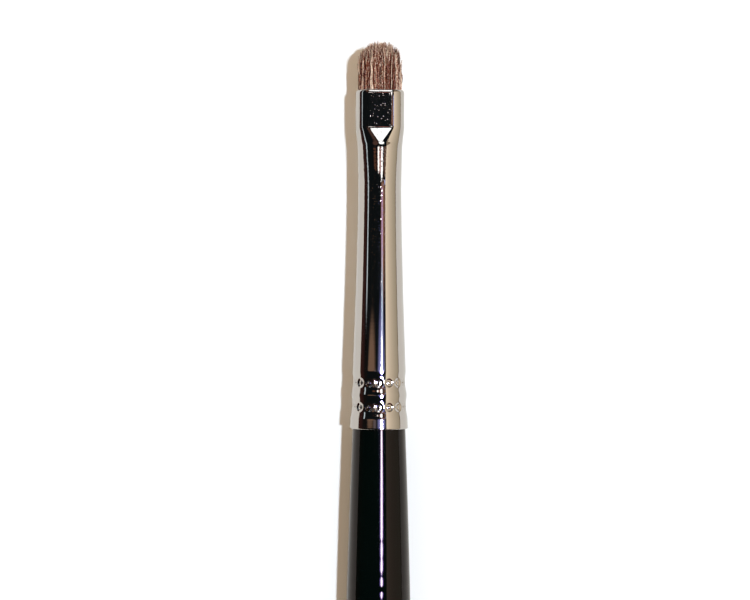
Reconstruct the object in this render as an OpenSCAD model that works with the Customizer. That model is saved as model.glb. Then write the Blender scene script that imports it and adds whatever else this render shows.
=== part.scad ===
// Eyeshadow brush: a flat, domed tuft of natural hair, held in a crimped metal ferrule
// on a turned and lacquered wooden handle.
//
// The brush lies on its side. +Y runs from the tail to the hair, +Z points up and X runs
// across the wide side of the tuft. The origin lies on the table, under the middle of the
// brush's length. Each piece is drawn upright first, with z = 0 at the ferrule's rim, the
// hair above it and the handle below, and lie_down() then lays it on the table.

/* [Overall] */
// Length from the tail to the top of the hair
brush_length = 170; // [150:1:200]

/* [Hair] */
// Length of the hair that stands out of the ferrule
hair_length = 7; // [5:0.5:10]
// How far the tuft's shoulders lie below its top, seen from the wide side
dome_height = 3.4; // [1:0.1:4]
// How far the tips of the front and back hairs lie below the middle ones
edge_drop = 0.9; // [0.2:0.1:2]
// Thickness of the tuft at the tips
tip_thickness = 1.6; // [0.8:0.1:2]
// How much shorter than its neighbours a hair may be
uneven_length = 0.4; // [0:0.05:0.8]
// Depth of the bound hair's face inside the ferrule's mouth
root_recess = 0.8; // [0.4:0.1:1.5]
// Thickness of the slice of bound hair that carries the strands
root_slice = 0.8; // [0.4:0.1:1.5]
// Gap between the hair and the ferrule's wall
hair_gap = 0.04; // [0.02:0.01:0.08]
// Strands across the width of the tuft
strands_wide = 32; // [26:1:36]
// Strands through the thickness of the tuft
strands_deep = 13; // [10:1:14]

/* [Binding] */
// Distance from the round tube's upper end to where the bundle starts to narrow
tie_depth = 0.7; // [0:0.1:2]
// Length over which the bundle narrows to the tied neck
tie_taper = 1.4; // [1:0.1:2]
// Diameter of the hair bundle where it is tied
tie_d = 4.2; // [3.5:0.1:4.6]
// Diameter of the binding thread
thread_d = 0.3; // [0.2:0.05:0.4]
// Turns of the binding thread
thread_turns = 6; // [4:1:7]
// Length of the hair's flared butt end behind the thread
butt_length = 2; // [1:0.1:3]
// Distance from the hair's butt end to the bottom of the resin
resin_tail = 2.4; // [1:0.2:4]

/* [Ferrule] */
// Length of the ferrule
ferrule_length = 49; // [44:1:56]
// Thickness of the ferrule's wall
wall = 0.35; // [0.25:0.05:0.45]
// Width of the flattened mouth, outside
mouth_width = 7; // [6.6:0.1:7.6]
// Thickness of the flattened mouth, outside
mouth_thickness = 3.8; // [3.4:0.1:4.2]
// Length of the flattened mouth
flat_length = 5.5; // [4:0.1:7]
// Length of the steep slopes behind the mouth
slope_length = 2.6; // [2:0.1:4]
// Width of the tube behind the slopes, outside
neck_width = 6.46; // [6.3:0.02:6.7]
// Thickness of the tube behind the slopes, outside
neck_thickness = 5.3; // [5:0.1:6]
// Length over which the tube turns round behind the slopes
neck_length = 5; // [3:0.1:7]
// Length of the straight waist
waist_length = 1.5; // [0.5:0.1:3]
// Diameter of the waist, outside
waist_d = 6.25; // [6.05:0.05:6.6]
// Diameter of the rim at the handle, outside
rim_d = 8.4; // [7.8:0.1:9]

/* [Crimps] */
// Rings of crimps
crimp_count = 2; // [1:1:3]
// Distance from the rim to the first ring
crimp_from_rim = 3.2; // [2.6:0.1:4]
// Distance from one ring to the next
crimp_pitch = 3.5; // [3.2:0.1:4]
// Width of the groove that a ring is pressed in
crimp_width = 2.9; // [1.6:0.1:3]
// Depth of that groove
crimp_depth = 0.12; // [0.08:0.02:0.2]
// Dimples in a ring
dimple_count = 16; // [12:1:18]
// Diameter of a dimple
dimple_d = 1.2; // [0.8:0.1:1.3]
// Depth of a dimple
dimple_depth = 0.16; // [0.1:0.02:0.2]

/* [Handle] */
// Largest diameter of the handle
belly_d = 10; // [9:0.1:11]
// Distance from the rim to where the handle is widest
belly_from_rim = 52; // [40:1:58]
// Length of the straight belly
belly_length = 10; // [6:1:14]
// Diameter of the tail
tail_d = 4.8; // [4:0.1:6]
// Length of the tenon inside the ferrule
tenon_length = 19; // [16:1:22]
// Chamfer on the end of the tenon
tenon_chamfer = 0.6; // [0.3:0.1:1]
// Thickness of the lacquer
lacquer = 0.12; // [0.08:0.01:0.2]
// Length of lacquered handle that the ferrule covers
lacquer_overlap = 1.2; // [0.5:0.1:1.4]
// Thickness of the glue around the tenon
glue = 0.1; // [0.06:0.01:0.15]

/* [Hidden] */
// Gap between two pieces that are glued or pressed together
seat_gap = 0.02;
// Overrun of a cut, and overlap of two forms that are joined
overrun = 0.01;

// Share of a strand's pitch that the strand fills at its foot
strand_share = 0.66;
// Share of its foot's width that a strand keeps near the tip
strand_taper_share = 0.8;
// Share of a strand's height at which it starts to point
strand_point_share = 0.84;
// Share of the gap beside a strand by which it may stand out of line
strand_wander_share = 0.2;
// Share of the tuft's width that is left at the tips
tip_width_share = 0.95;
// Share of the tied neck's width by which the hair's butt end flares
butt_flare_share = 0.12;
// Exponents of the ferrule's flare, of the handle's swell and of the tuft's dome
flare_power = 1.42;
swell_power = 1.75;
dome_power = 2.5;
// Seeds of the strands' lengths and places
length_seed = 7;
wander_seed = 31;

// Steps of the turned outlines
flare_steps = 20;
crimp_steps = 12;
swell_steps = 20;
tail_steps = 24;
cap_steps = 10;
// Facets of round ends inside a hull, and of all other round forms
hull_fn = 32;
round_fn = 96;

// Whole counts
wide_count = round(strands_wide);
deep_count = round(strands_deep);
turn_count = round(thread_turns);
ring_count = round(crimp_count);
dimples_each = round(dimple_count);

// Heights of the ferrule's stations, upright
mouth_z = ferrule_length;
flat_z = mouth_z - flat_length;
slope_z = flat_z - slope_length;
round_z = slope_z - neck_length;
waist_z = round_z - waist_length;
crimp_top = crimp_from_rim + (ring_count - 1) * crimp_pitch + crimp_width / 2;

// Heights inside the ferrule
slice_top = mouth_z - root_recess;
slice_bottom = slice_top - root_slice;
tie_top = round_z - tie_depth;
neck_top = tie_top - tie_taper;
thread_length = turn_count * thread_d;
thread_bottom = neck_top - seat_gap - thread_length;
neck_bottom = thread_bottom - seat_gap;
butt_z = neck_bottom - butt_length;
resin_bottom = butt_z - resin_tail;

// The handle's sizes
handle_length = brush_length - ferrule_length - hair_length;
shoulder_r = rim_d / 2 - wall - seat_gap;
tail_r = tail_d / 2;
belly_end = belly_from_rim + belly_length;
cap_start = handle_length - tail_r;

// The hair's outline inside the mouth
hair_width = mouth_width - 2 * (wall + hair_gap);
hair_thickness = mouth_thickness - 2 * (wall + hair_gap);

function blend(a, b, share) = a + (b - a) * share;

// Radius of the round part of the ferrule, outside, at height z
function crimp_z(ring) = crimp_from_rim + ring * crimp_pitch;
function groove(z, ring) = abs(z - crimp_z(ring)) < crimp_width / 2
    ? crimp_depth * (1 + cos(360 * (z - crimp_z(ring)) / crimp_width)) / 2
    : 0;
function all_grooves(z, ring = 0) = ring < ring_count
    ? groove(z, ring) + all_grooves(z, ring + 1)
    : 0;
function flare(z) = z < waist_z
    ? blend(waist_d, rim_d, pow((waist_z - z) / waist_z, flare_power)) / 2
    : waist_d / 2;
function barrel_r(z) = flare(z) - all_grooves(z);

// Heights at which the turned outline of the ferrule has a point, between two heights
barrel_heights = concat(
    [0],
    [for (ring = [0:ring_count - 1], i = [0:crimp_steps])
        crimp_z(ring) + crimp_width * (i / crimp_steps - 1 / 2)],
    [for (i = [1:flare_steps]) blend(crimp_top, waist_z, i / flare_steps)],
    [round_z]
);
function heights_between(low, high) = concat(
    [low],
    [for (z = barrel_heights) if (z > low && z < high) z],
    [high]
);

// Outline of the barrel from one height to another, drawn in from the outside by inset
function barrel_line(low, high, inset) =
    [for (z = heights_between(low, high)) [barrel_r(z) - inset, z]];

function reversed(points) = [for (i = [len(points) - 1:-1:0]) points[i]];

// Radius of the lacquered handle at a distance behind the rim
function handle_r(t) =
    t < belly_from_rim
        ? belly_d / 2 - (belly_d / 2 - shoulder_r) * pow(1 - t / belly_from_rim, swell_power)
    : t < belly_end
        ? belly_d / 2
    : blend(tail_r, belly_d / 2, (1 + cos(180 * (t - belly_end) / (cap_start - belly_end))) / 2);

// Outline of the handle from the rim to the tail's tip, drawn in by inset
function handle_line(inset) = concat(
    [for (i = [0:swell_steps])
        let (t = belly_from_rim * i / swell_steps) [handle_r(t) - inset, -t]],
    [for (i = [0:tail_steps])
        let (t = blend(belly_end, cap_start, i / tail_steps)) [handle_r(t) - inset, -t]],
    [for (i = [1:cap_steps])
        let (turn = 90 * i / cap_steps)
        [(tail_r - inset) * cos(turn), -cap_start - (tail_r - inset) * sin(turn)]]
);

module lie_down() {
    translate([0, (handle_length - ferrule_length - hair_length) / 2, belly_d / 2])
        rotate([-90, 0, 0])
            children();
}

// A flat shape with round ends
module oval(width, thickness, fn) {
    square([width - thickness, thickness], center = true);
    for (side = [-1, 1])
        translate([side * (width - thickness) / 2, 0])
            circle(d = thickness, $fn = fn);
}

module slab(low, high) {
    size = rim_d + mouth_width;
    translate([-size / 2, -size / 2, low])
        cube([size, size, high - low]);
}

// The tube's section behind the slopes
module neck_ellipse(inset) {
    scale([neck_width - 2 * inset, neck_thickness - 2 * inset])
        circle(d = 1, $fn = hull_fn);
}

// A skin between two flat shapes at two heights
module blended(low, high) {
    hull() {
        translate([0, 0, low])
            linear_extrude(overrun)
                children(0);
        translate([0, 0, high])
            linear_extrude(overrun)
                children(1);
    }
}

// The ferrule's outer form, drawn in by inset: a turned barrel, a neck, the slopes and the
// flat mouth. It runs past both ends by extra. The neck and the slopes are smaller by the
// overrun where they sink into their neighbours.
module ferrule_form(inset, extra = 0) {
    sunk = inset + overrun;
    rotate_extrude($fn = round_fn)
        polygon(concat(
            [[0, -extra], [barrel_r(0) - inset, -extra]],
            barrel_line(0, round_z, inset),
            [[0, round_z]]
        ));
    blended(round_z - overrun, slope_z) {
        circle(r = waist_d / 2 - sunk, $fn = hull_fn);
        neck_ellipse(inset);
    }
    blended(slope_z - overrun, flat_z) {
        neck_ellipse(sunk);
        oval(mouth_width - 2 * sunk, mouth_thickness - 2 * sunk, hull_fn);
    }
    translate([0, 0, flat_z])
        linear_extrude(flat_length + extra)
            oval(mouth_width - 2 * inset, mouth_thickness - 2 * inset, round_fn);
}

// The balls that press the dimples, round each ring of crimps
module dimple_balls() {
    ball_r = (dimple_d * dimple_d / 4 + dimple_depth * dimple_depth) / (2 * dimple_depth);
    for (ring = [0:ring_count - 1], i = [0:dimples_each - 1])
        rotate([0, 0, 360 * i / dimples_each])
            translate([0, barrel_r(crimp_z(ring)) + ball_r - dimple_depth, crimp_z(ring)])
                sphere(r = ball_r, $fn = hull_fn);
}

module ferrule() {
    color("silver")
        difference() {
            ferrule_form(0);
            ferrule_form(wall, overrun);
            dimple_balls();
        }
}

// The tied end of the hair bundle: a taper, a neck under the thread and a flared butt
module tied_end(grow = 0) {
    full_r = waist_d / 2 - wall - seat_gap - overrun;
    neck_r = tie_d / 2 + grow;
    rotate_extrude($fn = round_fn)
        polygon([
            [0, tie_top + overrun],
            [full_r, tie_top + overrun],
            [full_r, tie_top],
            [neck_r, neck_top],
            [neck_r, neck_bottom],
            [neck_r * (1 + butt_flare_share), butt_z - grow],
            [0, butt_z - grow]
        ]);
}

module hair_roots() {
    color("#5b4434")
        union() {
            intersection() {
                ferrule_form(wall + seat_gap);
                slab(tie_top, slice_bottom);
            }
            tied_end();
        }
}

// The turns of the thread lie side by side, and a thin web behind them joins them
module binding_thread(grow = 0) {
    color("#d8cdb6")
        rotate_extrude($fn = round_fn)
            translate([tie_d / 2 + seat_gap - grow, 0]) {
                for (turn = [0:turn_count - 1])
                    translate([thread_d / 2, thread_bottom + (turn + 1 / 2) * thread_d])
                        circle(d = thread_d + 2 * grow, $fn = hull_fn);
                translate([0, thread_bottom - grow])
                    square([thread_d / 2, thread_length + 2 * grow]);
            }
}

// The resin fills the tube around the tied end and closes it below
module root_resin() {
    color("#b8843c")
        difference() {
            rotate_extrude($fn = round_fn)
                polygon(concat(
                    [[0, resin_bottom]],
                    barrel_line(resin_bottom, tie_top - seat_gap, wall + seat_gap),
                    [[0, tie_top - seat_gap]]
                ));
            tied_end(seat_gap);
            binding_thread(seat_gap);
        }
}

// The tenon's outline from one height to another: the ferrule's bore, less the glue
function tenon_line(low, high, inset) = barrel_line(low, high, wall + seat_gap + glue + inset);

module tenon_glue() {
    low = lacquer_overlap + seat_gap;
    high = tenon_length - tenon_chamfer;
    color("#e6dcb4")
        rotate_extrude($fn = round_fn)
            polygon(concat(
                barrel_line(low, high, wall + seat_gap),
                reversed(tenon_line(low, high, 0))
            ));
}

module wooden_handle() {
    tenon_end_r = barrel_r(tenon_length) - wall - glue - 2 * seat_gap;
    color("#c9a06a")
        rotate_extrude($fn = round_fn)
            polygon(concat(
                [[0, tenon_length], [tenon_end_r - tenon_chamfer, tenon_length]],
                reversed(tenon_line(lacquer_overlap, tenon_length - tenon_chamfer, seat_gap)),
                reversed(barrel_line(0, lacquer_overlap, wall + lacquer + 2 * seat_gap)),
                handle_line(lacquer + seat_gap)
            ));
}

module lacquer_coat() {
    color("#120f10")
        rotate_extrude($fn = round_fn)
            polygon(concat(
                reversed(barrel_line(0, lacquer_overlap, wall + seat_gap)),
                handle_line(0),
                reversed(handle_line(lacquer)),
                barrel_line(0, lacquer_overlap, wall + seat_gap + lacquer)
            ));
}

// The tuft is one body. The face of the bound slice is a grid of cells, and every other
// cell in each direction rises as a four-sided strand that ends in a point. The strands
// lean along one smooth field, so that no two of them cross.

// Place of a grid line between -1 and 1: odd lines close a strand, even lines open one
function line_share(i, count) =
    2 * (floor(i / 2) + (i % 2) * strand_share) / (count - 1 + strand_share) - 1;
function strand_mid_share(i, count) =
    (line_share(2 * i, count) + line_share(2 * i + 1, count)) / 2;

// Half the tuft's width at a distance y from its middle plane
function half_width(y) =
    (hair_width - hair_thickness) / 2 + sqrt(max(0, pow(hair_thickness / 2, 2) - y * y));

// Point of the tuft's cross-section for shares u and v, each between -1 and 1
function section_point(u, v) =
    let (y = v * hair_thickness / 2)
    [u * half_width(y), y];

grid_wide = 2 * wide_count;
grid_deep = 2 * deep_count;
strand_total = wide_count * deep_count;
length_shares = rands(0, 1, strand_total, length_seed);
wander_shares = rands(-1, 1, 2 * strand_total, wander_seed);

// Height of a strand's tip above the mouth
function tip_height(u, v, strand) =
    hair_length
    - dome_height * (1 - pow(1 - pow(abs(u), dome_power), 1 / dome_power))
    - edge_drop * v * v
    - uneven_length * length_shares[strand] * max(abs(u), abs(v));

// How far the tuft has thinned at a height above the slice, and where a hair has leant to
full_rise = hair_length + root_recess;
thickness_left_share = tip_thickness / hair_thickness;
function thinning_share(height) = pow(height / full_rise, 2);
function leaning(point, height) = [
    point[0] * blend(1, tip_width_share, thinning_share(height)),
    point[1] * blend(1, thickness_left_share, thinning_share(height))
];

// The sideways wander of a strand's tip, within the gap beside it
strand_gap = hair_thickness * (1 - strand_share) / deep_count;
function wander(strand) =
    strand_gap * strand_wander_share * [wander_shares[2 * strand], wander_shares[2 * strand + 1]];

// Four points near the top of a strand and its tip
function strand_points(i, j) =
    let (
        strand = i * deep_count + j,
        u = strand_mid_share(i, wide_count),
        v = strand_mid_share(j, deep_count),
        foot = section_point(u, v),
        rise = root_recess + tip_height(u, v, strand),
        point_height = strand_point_share * rise,
        upper = leaning(foot, point_height),
        shrink = strand_taper_share * blend(1, thickness_left_share, thinning_share(point_height))
    )
    concat(
        [for (corner = [[0, 0], [0, 1], [1, 1], [1, 0]])
            let (
                at = section_point(
                    line_share(2 * i + corner[0], wide_count),
                    line_share(2 * j + corner[1], deep_count)
                ),
                place = upper + shrink * (at - foot) + strand_point_share * wander(strand)
            )
            [place[0], place[1], slice_top + point_height]],
        [concat(leaning(foot, rise) + wander(strand), [slice_top + rise])]
    );

grid_points = [for (a = [0:grid_wide - 1], b = [0:grid_deep - 1])
    concat(section_point(line_share(a, wide_count), line_share(b, deep_count)), [slice_top])];

// The grid's outer points in order, clockwise from above
edge_cells = concat(
    [for (b = [0:grid_deep - 1]) [0, b]],
    [for (a = [1:grid_wide - 1]) [a, grid_deep - 1]],
    [for (b = [grid_deep - 2:-1:0]) [grid_wide - 1, b]],
    [for (a = [grid_wide - 2:-1:1]) [a, 0]]
);
edge_total = len(edge_cells);
grid_total = grid_wide * grid_deep;
points_per_strand = 5;
first_edge = grid_total + points_per_strand * strand_total;

function grid_index(a, b) = a * grid_deep + b;
function two_triangles(p, q, r, s) = [[p, q, r], [p, r, s]];

// The faces of one strand, from its four foot points up to the tip
function strand_faces(i, j) =
    let (
        foot = [grid_index(2 * i, 2 * j), grid_index(2 * i, 2 * j + 1),
                grid_index(2 * i + 1, 2 * j + 1), grid_index(2 * i + 1, 2 * j)],
        top = grid_total + points_per_strand * (i * deep_count + j)
    )
    [for (k = [0:3])
        let (next = (k + 1) % 4)
        each concat(
            two_triangles(foot[k], foot[next], top + next, top + k),
            [[top + k, top + next, top + 4]]
        )];

module hair_tuft() {
    points = concat(
        grid_points,
        [for (i = [0:wide_count - 1], j = [0:deep_count - 1]) each strand_points(i, j)],
        [for (cell = edge_cells)
            let (at = grid_points[grid_index(cell[0], cell[1])])
            [at[0], at[1], slice_bottom]],
        [[0, 0, slice_bottom]]
    );
    floor_faces = [for (a = [0:grid_wide - 2], b = [0:grid_deep - 2])
        if (a % 2 == 1 || b % 2 == 1)
            each two_triangles(grid_index(a, b), grid_index(a, b + 1),
                               grid_index(a + 1, b + 1), grid_index(a + 1, b))];
    edge_faces = [for (k = [0:edge_total - 1])
        let (
            next = (k + 1) % edge_total,
            here = edge_cells[k],
            there = edge_cells[next]
        )
        each concat(
            two_triangles(grid_index(here[0], here[1]), first_edge + k,
                          first_edge + next, grid_index(there[0], there[1])),
            [[first_edge + k, first_edge + edge_total, first_edge + next]]
        )];
    color("#7a5442")
        polyhedron(
            points = points,
            faces = concat(
                floor_faces,
                [for (i = [0:wide_count - 1], j = [0:deep_count - 1]) each strand_faces(i, j)],
                edge_faces
            )
        );
}

lie_down() hair_tuft();
lie_down() hair_roots();
lie_down() binding_thread();
lie_down() root_resin();
lie_down() ferrule();
lie_down() tenon_glue();
lie_down() wooden_handle();
lie_down() lacquer_coat();
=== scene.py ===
import math
import random

import bmesh
import bpy
from mathutils import Matrix, Vector


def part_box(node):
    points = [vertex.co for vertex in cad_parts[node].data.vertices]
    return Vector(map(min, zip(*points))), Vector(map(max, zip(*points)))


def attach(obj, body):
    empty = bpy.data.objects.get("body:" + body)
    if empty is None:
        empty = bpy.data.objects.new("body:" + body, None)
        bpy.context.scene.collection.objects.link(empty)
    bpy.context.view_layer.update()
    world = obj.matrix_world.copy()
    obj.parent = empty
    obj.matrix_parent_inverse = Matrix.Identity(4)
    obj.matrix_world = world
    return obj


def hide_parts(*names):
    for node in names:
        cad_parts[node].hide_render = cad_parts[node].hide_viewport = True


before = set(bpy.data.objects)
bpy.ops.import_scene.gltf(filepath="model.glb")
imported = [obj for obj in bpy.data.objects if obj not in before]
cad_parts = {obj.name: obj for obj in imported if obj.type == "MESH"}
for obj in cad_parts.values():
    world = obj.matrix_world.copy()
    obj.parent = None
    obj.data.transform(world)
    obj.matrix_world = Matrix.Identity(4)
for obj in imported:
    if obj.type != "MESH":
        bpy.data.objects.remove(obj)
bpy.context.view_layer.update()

# A flat eyeshadow brush: a domed tuft of natural hair, in a nickel-plated brass ferrule with
# a pressed mouth and two rings of crimps, on a turned wooden handle under black lacquer.
#
# Sizes are in millimetres. The brush lies along Y with the hair towards +Y, and each piece
# is shaped round its own axis before place_piece() lays it where the frame has it.

MM = 0.001
MERGE_DISTANCE = 0.0005


def corners_of(node):
    """Lowest and highest corner of a node of the frame, in millimetres."""
    low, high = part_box(node)
    return low / MM, high / MM


FERRULE_LOW, FERRULE_HIGH = corners_of("ferrule")
HANDLE_LOW, HANDLE_HIGH = corners_of("lacquer_coat")

# The brush's axis, and the stations along it
AXIS_Z = (HANDLE_LOW.z + HANDLE_HIGH.z) / 2
TAIL_Y = HANDLE_LOW.y
RIM_Y = FERRULE_LOW.y
MOUTH_Y = FERRULE_HIGH.y

# Ferrule
WALL = 0.35
SEAT_GAP = 0.02
RIM_R = (FERRULE_HIGH.x - FERRULE_LOW.x) / 2
WAIST_R = 3.125
FLARE_POWER = 1.42
MOUTH_WIDTH = 7.0
MOUTH_THICKNESS = 3.8
NECK_WIDTH = 6.46
NECK_THICKNESS = 5.3
FLAT_LENGTH = 5.5
SLOPE_LENGTH = 2.6
NECK_LENGTH = 5.0
WAIST_LENGTH = 1.5
FLAT_Y = MOUTH_Y - FLAT_LENGTH
SLOPE_Y = FLAT_Y - SLOPE_LENGTH
ROUND_Y = SLOPE_Y - NECK_LENGTH
WAIST_Y = ROUND_Y - WAIST_LENGTH
FLAT_HALF = (MOUTH_WIDTH - MOUTH_THICKNESS) / 2
# Radii over which the pressed bends are rounded, and of the two edges
NECK_EASE = 1.6
APEX_EASE = 0.22
CREASE_EASE = 0.14
LIP_R = 0.3
LIP_LENGTH = 0.5
INNER_LIP_R = WALL - LIP_R
RIM_EDGE_R = 0.16
# The pressed faces stay a little crowned: share of their height lost per square millimetre
CROWN_SHARE = 0.006
# How far past its apex a facet starts to show as flat
FACET_START = 0.45
FERRULE_COLUMNS = 320

# Crimps
CRIMP_RINGS = 2
CRIMP_FROM_RIM = 3.2
CRIMP_PITCH = 3.5
CRIMP_WIDTH = 3.5
CRIMP_DEPTH = 0.12
CRIMP_FLAT_WIDTH = 1.1
DIMPLES = 16
# The crimping teeth have cupped ends, which leave a low boss in the middle of each mark
DIMPLE_HALF_WIDTH = 0.72
DIMPLE_HALF_LENGTH = 0.72
DIMPLE_DEPTH = 0.13
BOSS_DEPTH = 0.03

# Handle
LACQUER = 0.12
LACQUER_OVERLAP = 1.2
BELLY_R = (HANDLE_HIGH.z - HANDLE_LOW.z) / 2
BELLY_FROM_RIM = 52.0
BELLY_LENGTH = 10.0
TAIL_R = 2.4
SWELL_POWER = 1.75
SHOULDER_R = RIM_R - WALL - SEAT_GAP
HANDLE_LENGTH = RIM_Y - TAIL_Y
BELLY_END = BELLY_FROM_RIM + BELLY_LENGTH
CAP_START = HANDLE_LENGTH - TAIL_R
HANDLE_COLUMNS = 160

# Hair
HAIR_LENGTH = 7.0
HAIR_END_Y = MOUTH_Y + HAIR_LENGTH
DOME_HEIGHT = 3.4
DOME_POWER = 2.5
EDGE_DROP = 0.9
TIP_THICKNESS = 1.6
TIP_WIDTH_SHARE = 0.95
UNEVEN_LENGTH = 0.5
# How far the longest hairs reach past the trimmed form
TIP_REACH = 0.3
ROOT_RECESS = 0.8
HAIR_GAP = 0.04
HAIR_HALF_WIDTH = MOUTH_WIDTH / 2 - WALL - HAIR_GAP
HAIR_HALF_THICKNESS = MOUTH_THICKNESS / 2 - WALL - HAIR_GAP
# A real hair is about 0.07 mm thick. These are drawn thicker and fewer, so that they show
HAIR_R = 0.058
HAIR_PITCH = 0.1
LOCK_PITCH = 0.3
# How far hairs and locks start off their grid, as a share of its pitch
HAIR_SCATTER = 0.3
LOCK_SCATTER = 0.35
HAIR_RINGS = 14
HAIR_SEED = 12
# How far the tips of locks, hairs and stray hairs stand off their own line
LOCK_LEAN = 0.12
HAIR_LEAN = 0.06
STRAY_LEAN = 0.22
STRAY_SHARE = 0.04
# How far locks and hairs wave, from a little way above their feet, and the least and most
# between their crests
LOCK_WAVE = 0.07
LOCK_CRESTS = (2.4, 5.0)
HAIR_WAVE = 0.045
HAIR_CRESTS = (1.3, 3.2)
WAVE_START = 1.6
# Most hairs are dark or middling, and some are pale. A lock's hairs are somewhat alike
TONES = (0.0, 0.0, 0.1, 0.3, 0.5, 0.7, 0.9, 1.0)
LOCK_TONE_SHARE = 0.2
# How far a lock's hairs have drawn together at the tips
CLUMP_SHARE = 0.8
CLUMP_POWER = 3
# Where a hair starts to taper, how much of its radius it loses, and how suddenly
TAPER_START = 0.62
TAPER_SHARE = 0.8
TAPER_POWER = 1.4

# The camera: straight above the brush and turned a little, as the photo was taken
PHOTO_WIDTH_PX = 750
MM_PER_PX = 0.145
SENSOR_WIDTH = 36.0
LENS = 99.0
CAMERA_X = -0.63
CAMERA_Y = 47.6
CAMERA_ROLL_DEGREES = 0.188
CAMERA_DISTANCE = LENS * PHOTO_WIDTH_PX * MM_PER_PX / SENSOR_WIDTH


def blend(a, b, share):
    return a + (b - a) * share


def steps(low, high, spacing):
    """Evenly spaced values from low up to high, high left out."""
    count = max(1, round((high - low) / spacing))
    return [blend(low, high, i / count) for i in range(count)]


def ramp(along, ease):
    """Zero below 0 and the value itself above it, with the corner rounded over ease."""
    if along <= -ease:
        return 0.0
    if along >= ease:
        return along
    return (along + ease) ** 2 / (4 * ease)


def turn_outline(bm, outline, columns, closed):
    """Spins an outline of (radius, y) points round the brush's axis."""
    points = [bm.verts.new((radius, y, 0)) for radius, y in outline]
    pairs = list(zip(points, points[1:]))
    if closed:
        pairs.append((points[-1], points[0]))
    edges = [bm.edges.new(pair) for pair in pairs]
    bmesh.ops.spin(
        bm, geom=points + edges, cent=(0, 0, 0), axis=(0, 1, 0),
        dvec=(0, 0, 0), angle=math.tau, steps=columns, use_merge=True,
    )
    bmesh.ops.remove_doubles(bm, verts=bm.verts, dist=MERGE_DISTANCE)
    bmesh.ops.recalc_face_normals(bm, faces=bm.faces)


def place_piece(bm, name, slot, material, *nodes):
    """Lays a shape drawn round its axis in the frame, and makes it a piece of the brush."""
    bmesh.ops.translate(bm, verts=bm.verts, vec=(0, 0, AXIS_Z))
    bmesh.ops.scale(bm, verts=bm.verts, vec=(MM, MM, MM))
    for face in bm.faces:
        face.smooth = True
    mesh = bpy.data.meshes.new(name)
    bm.to_mesh(mesh)
    bm.free()
    piece = bpy.data.objects.new(name, mesh)
    bpy.context.scene.collection.objects.link(piece)
    piece.data.materials.append(material)
    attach(piece, "root")
    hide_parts(*nodes)
    return piece


# Ferrule

def crimp_y(ring):
    return RIM_Y + CRIMP_FROM_RIM + ring * CRIMP_PITCH


def groove_depth(y):
    """Depth of the rolled crimp grooves at a place along the ferrule: flat at the bottom,
    with rounded shoulders."""
    away = min(abs(y - crimp_y(ring)) for ring in range(CRIMP_RINGS))
    share = (away - CRIMP_FLAT_WIDTH / 2) / ((CRIMP_WIDTH - CRIMP_FLAT_WIDTH) / 2)
    share = min(1.0, max(0.0, share))
    return CRIMP_DEPTH * (1 + math.cos(math.pi * share)) / 2


def flare_r(y):
    """Radius of the drawn tube, before it is crimped and its mouth is pressed."""
    share = max(0.0, (WAIST_Y - y) / (WAIST_Y - RIM_Y))
    return blend(WAIST_R, RIM_R, share ** FLARE_POWER)


def pressed_half(y, round_half, neck_half, mouth_half):
    """Half the tube's width or thickness where it is pressed, with rounded bends."""
    neck_slope = (neck_half - round_half) / NECK_LENGTH
    face_slope = (mouth_half - neck_half) / SLOPE_LENGTH
    return (
        round_half
        + neck_slope * ramp(y - ROUND_Y, NECK_EASE)
        + (face_slope - neck_slope) * ramp(y - SLOPE_Y, APEX_EASE)
        - face_slope * ramp(y - FLAT_Y, CREASE_EASE)
    )


def press_mouth(vert):
    """Moves a point of the round tube to where the press leaves it."""
    y = vert.co.y
    if y < ROUND_Y - NECK_EASE:
        return
    radius = math.hypot(vert.co.x, vert.co.z)
    inset = flare_r(y) - radius
    along = vert.co.x / radius
    across = vert.co.z / radius
    half_width = pressed_half(y, WAIST_R, NECK_WIDTH / 2, MOUTH_WIDTH / 2) - inset
    half_depth = pressed_half(y, WAIST_R, NECK_THICKNESS / 2, MOUTH_THICKNESS / 2) - inset
    pressed_share = (y - SLOPE_Y - FACET_START) / (SLOPE_LENGTH - FACET_START)
    pressed_share = min(1.0, max(0.0, pressed_share))
    flat = FLAT_HALF * pressed_share
    side = half_width - flat
    if half_depth * abs(along) <= flat * abs(across):
        reach = half_depth / abs(across)
    else:
        a = (along / side) ** 2 + (across / half_depth) ** 2
        b = flat * abs(along) / side ** 2
        c = (flat / side) ** 2 - 1
        reach = (b + math.sqrt(b * b - a * c)) / a
    vert.co.x = reach * along
    vert.co.z = reach * across * (1 - CROWN_SHARE * pressed_share * (reach * along) ** 2)


def dimple_depth(along, around):
    """Depth of a tooth's mark at a distance from its middle."""
    away = min(1.0, math.hypot(along / DIMPLE_HALF_LENGTH, around / DIMPLE_HALF_WIDTH))
    trough = (1 - math.cos(math.tau * away)) / 2
    bowl = (1 + math.cos(math.pi * away)) / 2
    return DIMPLE_DEPTH * trough + BOSS_DEPTH * bowl


def press_dimples(vert):
    """Pushes a point of the outer wall in where the crimping teeth have left their marks."""
    radius = math.hypot(vert.co.x, vert.co.z)
    pitch = math.tau / DIMPLES
    turn = math.atan2(vert.co.x, vert.co.z) / pitch
    around = (turn - round(turn)) * pitch * radius
    depth = sum(dimple_depth(vert.co.y - crimp_y(ring), around) for ring in range(CRIMP_RINGS))
    vert.co.x *= 1 - depth / radius
    vert.co.z *= 1 - depth / radius


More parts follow.
